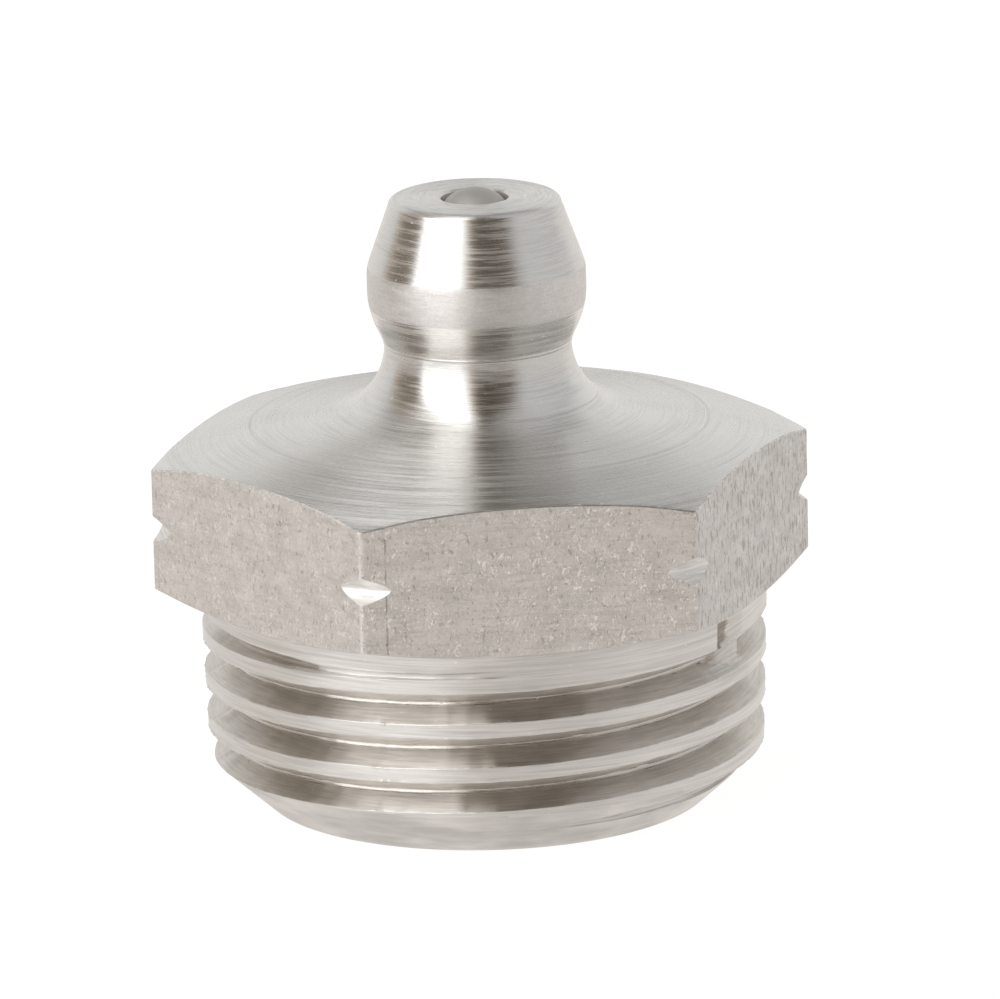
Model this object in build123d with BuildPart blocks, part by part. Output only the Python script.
from build123d import *
import math
import os

# Straight conical-head lubrication nipple with a taper pipe thread.
# Frame: +Z along the nipple from the screwed end to the head, z = 0 on the
# screwed end face, two wrench flats facing +Y and -Y, hexagon corners on +X and -X.
# All lengths in millimetres. Names ending in _r are radii and in _z heights.

height = 18.0               # screwed end face to inlet face
overcut = 1.0               # how far the bore and hexagon cuts pass the material

# Head, gripped by the coupler of a grease gun
face_r = 2.475              # flat inlet face
face_edge = 0.20            # broken edge around the inlet face
face_edge_flare = 0.36      # part of face_edge that lies outside face_r
head_r = 3.22               # largest head radius
head_cone_z = 15.93         # foot of the head's cone
head_band_z = 15.28         # foot of the head's cylindrical band
head_curve_r = 2.63         # curve under the band
head_under_slope = 0.46     # radius lost per height where the curve runs out
neck_r = 2.755              # neck, just under the head
neck_z = 13.643             # top of the neck fillet

# Neck fillet and shoulder down to the hexagon, in three slopes
neck_fillet_r = 2.10
neck_fillet_deg = 8.0       # slope where the fillet ends
shoulder_ring_r = 6.75      # turned mark where the two shoulder cuts meet
shoulder_ring_z = 11.257
shoulder_edge_r = 9.10      # start of the broken edge over the corners
shoulder_edge_z = 10.606

# Hexagon
across_flats = 17.0
corner_r = across_flats / math.sqrt(3)
corner_top_z = 10.317       # where the shoulder meets a corner
corner_low_z = 6.743        # where the underside cone meets a corner
underside_deg = 16.0
corner_fillet = 0.22
rim_r = corner_r + 0.6      # turned blank, before the hexagon is cut
notch_z = 8.593             # turned V groove that marks the six corners
notch_depth = 0.35
notch_half = 0.43           # half its height at a corner

# Taper thread, 1:16 on diameter, right hand
thread_crest_r = 8.35       # crest radius at thread_ref_z
thread_ref_z = 5.53
thread_top_z = 6.33         # sets the radius where the thread meets the underside
taper = 1 / 32              # change of radius per length
pitch = 1.337
groove_width = 0.892        # groove mouth at the crest
groove_depth = 0.78
flank_deg = 27.5            # half of the 55 degree form
groove_over = 0.35          # how far the cutting outline stands outside the crest
groove_ref_z = 4.803        # groove centre at groove_ref_deg
groove_ref_deg = -92.48
full_turns = 4              # whole turns below the last, partial one
thread_end_deg = 223.0      # where the tool leaves, counted from +X
runout_len = 4.2

# Flat mark left beside the hexagon by the threading tool
entry_deg = -44.5
entry_z = 5.73
entry_depth = 0.30
entry_len = 2.6
entry_lead = 0.3            # length of the mark clockwise of entry_deg, seen from +Z
entry_half = 0.55           # half its height
entry_cut = 1.0             # how far the cut reaches outward

# Screwed end
end_r = 6.60
end_chamfer_z = 1.47        # chamfer height on the thread

# Bore
inlet_r = 1.0
inlet_sink_r = 1.1
inlet_sink = 0.05
lip_r = 0.96                # narrowest point of the inlet, rolled in by the tool
lip_depth = 0.20            # depth of that point
lip_z = height - lip_depth
seat_deg = 36.0             # half angle of the seat cone
chamber_r = 1.35
plug_r = 1.80               # counterbore that holds the spring retainer
plug_top_z = 11.0
plug_len = 1.6
plug_low_z = plug_top_z - plug_len
counterbore_extra = 0.6     # counterbore below the retainer
outlet_r = 2.5              # open bore below the retainer
outlet_chamfer = 0.4

# Valve
ball_r = 1.19               # 3/32 inch ball
gap = 0.02                  # running gap between the valve's own pieces

# The seat cone touches the ball where the cone's normal passes through its centre;
# the ball sits one running gap under that.
seat_slope = math.tan(math.radians(seat_deg))
seat_touch = (ball_r + gap) / math.sin(math.radians(seat_deg))
ball_z = lip_z + lip_r / seat_slope - seat_touch

# Spring: closed end coils, open working coils; the top coil carries the ball
wire_r = 0.125
coil_r = 0.80
active_turns = 8
turns = active_turns + 2
closed_pitch = 2 * wire_r + 0.03
coil_top_z = ball_z - math.sqrt((ball_r + wire_r + gap) ** 2 - coil_r**2)
coil_low_z = plug_top_z + wire_r + gap
working_pitch = (coil_top_z - coil_low_z - 2 * closed_pitch) / active_turns
ease_turns = 0.12           # heights are averaged this far each way along the coil
points_per_turn = 12

# Spring retainer
retainer_hole_r = 0.55
retainer_drop = 0.01        # top face under the shoulder of the counterbore
retainer_press = 0.01       # interference in the counterbore
hole_edge = 0.25            # broken edges of the hole
hole_top_flare = 0.1        # radius gained by the hole's upper edge
rim_top_edge = 0.12
rim_low_edge = 0.2


def save(part, name):
    """Label a piece and write its STEP file."""
    part.label = name
    export_step(part, f"parts/{name}.step")


def crest_r(z):
    """Radius over the thread crests at height z."""
    return thread_crest_r - (thread_ref_z - z) * taper


def groove_corners(mouth_r, z):
    """Closed outline of the groove tool, its mouth line at radius mouth_r and height z."""
    flank_slope = math.tan(math.radians(flank_deg))
    outer_half = groove_width / 2 + groove_over * flank_slope
    root_half = groove_width / 2 - groove_depth * flank_slope
    return (
        (mouth_r + groove_over, z + outer_half),
        (mouth_r - groove_depth, z + root_half),
        (mouth_r - groove_depth, z - root_half),
        (mouth_r + groove_over, z - outer_half),
        (mouth_r + groove_over, z + outer_half),
    )


def head_curve_point(angle):
    """Point on the curve under the head, whose centre is level with the band's foot."""
    return (
        head_r - head_curve_r + head_curve_r * math.cos(angle),
        head_band_z - head_curve_r * math.sin(angle),
    )


def neck_fillet_point(angle):
    """Point on the neck fillet, angle counted from the outward radius."""
    return (
        neck_r + neck_fillet_r + neck_fillet_r * math.cos(angle),
        neck_z + neck_fillet_r * math.sin(angle),
    )


def build_nipple_body():
    # under the head: the curve runs out into a short straight slope to the neck
    curve_end_angle = math.atan(head_under_slope)
    curve_end = head_curve_point(curve_end_angle)
    slope_z = curve_end[1] - (curve_end[0] - neck_r) / head_under_slope
    fillet_mid = neck_fillet_point(math.radians(180 + (90 - neck_fillet_deg) / 2))
    fillet_end = neck_fillet_point(math.radians(270 - neck_fillet_deg))

    # shoulder, notch and underside carried out from the corners to the blank's rim
    edge_slope = (shoulder_edge_z - corner_top_z) / (corner_r - shoulder_edge_r)
    underside_slope = math.tan(math.radians(underside_deg))
    shoulder_rim_z = corner_top_z - (rim_r - corner_r) * edge_slope
    underside_rim_z = corner_low_z + (rim_r - corner_r) * underside_slope
    notch_rim_half = (rim_r - corner_r + notch_depth) * notch_half / notch_depth
    underside_in_r = crest_r(thread_top_z)
    underside_in_z = corner_low_z - (corner_r - underside_in_r) * underside_slope

    with BuildPart() as body:
        # turned outline with the V groove that marks the six corners
        with BuildSketch(Plane.XZ):
            with BuildLine():
                Polyline(
                    (0, height),
                    (face_r - face_edge, height),
                    (face_r + face_edge_flare * face_edge, height - face_edge),
                    (head_r, head_cone_z),
                    (head_r, head_band_z),
                )
                ThreePointArc(
                    (head_r, head_band_z), head_curve_point(curve_end_angle / 2), curve_end
                )
                Polyline(curve_end, (neck_r, slope_z), (neck_r, neck_z))
                ThreePointArc((neck_r, neck_z), fillet_mid, fillet_end)
                Polyline(
                    fillet_end,
                    (shoulder_ring_r, shoulder_ring_z),
                    (shoulder_edge_r, shoulder_edge_z),
                    (rim_r, shoulder_rim_z),
                    (rim_r, notch_z + notch_rim_half),
                    (corner_r - notch_depth, notch_z),
                    (rim_r, notch_z - notch_rim_half),
                    (rim_r, underside_rim_z),
                    (underside_in_r, underside_in_z),
                    (crest_r(end_chamfer_z), end_chamfer_z),
                    (end_r, 0),
                    (0, 0),
                    (0, height),
                )
            make_face()
        revolve(axis=Axis.Z)

        # thread groove, cut one turn at a time up the taper
        for turn in range(-full_turns, 1):
            turn_share = 1.0 if turn < 0 else thread_end_deg / 360
            start_z = groove_ref_z + (turn * 360 - groove_ref_deg) / 360 * pitch
            start_r = crest_r(start_z)
            with BuildLine() as groove_line:
                Helix(
                    pitch=pitch,
                    height=turn_share * pitch,
                    radius=start_r,
                    center=(0, 0, start_z),
                    cone_angle=math.degrees(math.atan(taper)),
                )
            groove_path = groove_line.wires()[0]
            with BuildSketch(Plane.XZ):
                with BuildLine():
                    Polyline(*groove_corners(start_r, start_z))
                make_face()
            sweep(path=groove_path, is_frenet=True, mode=Mode.SUBTRACT)

        # run-out: the tool leaves along the tangent, so the groove gets shallower
        leave = groove_path @ 1
        leave_angle = math.atan2(leave.Y, leave.X)
        leave_plane = Plane(
            origin=(0, 0, 0),
            x_dir=(math.cos(leave_angle), math.sin(leave_angle), 0),
            z_dir=(math.sin(leave_angle), -math.cos(leave_angle), 0),
        )
        with BuildSketch(leave_plane):
            with BuildLine():
                Polyline(*groove_corners(math.hypot(leave.X, leave.Y), leave.Z))
            make_face()
        extrude(amount=runout_len, dir=groove_path % 1, mode=Mode.SUBTRACT)

        # flat mark below the hexagon where the threading tool first touched
        entry_angle = math.radians(entry_deg)
        entry_r = crest_r(entry_z) - entry_depth
        entry_plane = Plane(
            origin=(entry_r * math.cos(entry_angle), entry_r * math.sin(entry_angle), entry_z),
            x_dir=(-math.sin(entry_angle), math.cos(entry_angle), 0),
            z_dir=(math.cos(entry_angle), math.sin(entry_angle), 0),
        )
        with BuildSketch(entry_plane):
            with Locations((entry_len / 2 - entry_lead, 0)):
                Rectangle(entry_len, 2 * entry_half)
        extrude(amount=entry_cut, mode=Mode.SUBTRACT)

        # hexagon with slightly rounded corners: what stands outside it is cut off
        with BuildSketch(Plane.XY.offset(underside_in_z - overcut)):
            Circle(rim_r + overcut)
            with BuildSketch(Plane.XY, mode=Mode.PRIVATE) as hexagon:
                RegularPolygon(corner_r, 6)
                fillet(hexagon.vertices(), corner_fillet)
            add(hexagon.sketch, mode=Mode.SUBTRACT)
        extrude(amount=shoulder_rim_z - underside_in_z + 3 * overcut, mode=Mode.SUBTRACT)

        # bore: countersink, inlet, seat cone, spring chamber, retainer counterbore, outlet
        seat_low_z = lip_z - (chamber_r - lip_r) / seat_slope
        counterbore_low_z = plug_low_z - counterbore_extra
        with BuildSketch(Plane.XZ):
            with BuildLine():
                Polyline(
                    (0, height + overcut),
                    (inlet_sink_r, height + overcut),
                    (inlet_sink_r, height),
                    (inlet_r, height - inlet_sink),
                    (lip_r, lip_z),
                    (chamber_r, seat_low_z),
                    (chamber_r, plug_top_z),
                    (plug_r, plug_top_z),
                    (plug_r, counterbore_low_z),
                    (outlet_r, counterbore_low_z - (outlet_r - plug_r)),
                    (outlet_r, outlet_chamfer),
                    (outlet_r + outlet_chamfer, 0),
                    (outlet_r + outlet_chamfer, -overcut),
                    (0, -overcut),
                    (0, height + overcut),
                )
            make_face()
        revolve(axis=Axis.Z, mode=Mode.SUBTRACT)
    return body.part


def build_valve_ball():
    low = (0, ball_z - ball_r)
    top = (0, ball_z + ball_r)
    with BuildPart() as ball:
        with BuildSketch(Plane.XZ):
            with BuildLine():
                Line(low, top)
                ThreePointArc(top, (ball_r, ball_z), low)
            make_face()
        revolve(axis=Axis.Z)
    return ball.part


def coil_z(turn):
    """Height of the wire's centre, with a sharp change between the two pitches."""
    if turn <= 1:
        return coil_low_z + closed_pitch * turn
    if turn >= 1 + active_turns:
        return coil_top_z - closed_pitch * (turns - turn)
    return coil_low_z + closed_pitch + working_pitch * (turn - 1)


def coil_point(turn):
    """Centre of the wire after some turns, the change of pitch eased by averaging."""
    z = coil_z(turn)
    if ease_turns < turn < turns - ease_turns:
        z = (coil_z(turn - ease_turns) + z + coil_z(turn + ease_turns)) / 3
    angle = 2 * math.pi * turn
    return (coil_r * math.cos(angle), coil_r * math.sin(angle), z)


def build_valve_spring():
    points = [coil_point(i / points_per_turn) for i in range(turns * points_per_turn + 1)]
    with BuildPart() as spring:
        with BuildLine() as coil_line:
            Spline(*points)
        coil_path = coil_line.wires()[0]
        with BuildSketch(Plane(origin=coil_path @ 0, z_dir=coil_path % 0)):
            Circle(wire_r)
        sweep(path=coil_path, is_frenet=True)
    return spring.part


def build_spring_retainer():
    """Drilled bush pressed up into its counterbore."""
    top_z = plug_top_z - retainer_drop
    rim = plug_r + retainer_press
    with BuildPart() as retainer:
        with BuildSketch(Plane.XZ):
            with BuildLine():
                Polyline(
                    (retainer_hole_r, plug_low_z + hole_edge),
                    (retainer_hole_r, plug_top_z - hole_edge),
                    (retainer_hole_r + hole_top_flare, top_z),
                    (plug_r - rim_top_edge, top_z),
                    (rim, top_z - rim_top_edge),
                    (rim, plug_low_z + rim_low_edge),
                    (plug_r - rim_low_edge, plug_low_z),
                    (retainer_hole_r + hole_edge, plug_low_z),
                    (retainer_hole_r, plug_low_z + hole_edge),
                )
            make_face()
        revolve(axis=Axis.Z)
    return retainer.part


os.makedirs("parts", exist_ok=True)
save(build_nipple_body(), "nipple_body")
save(build_valve_ball(), "valve_ball")
save(build_valve_spring(), "valve_spring")
save(build_spring_retainer(), "spring_retainer")
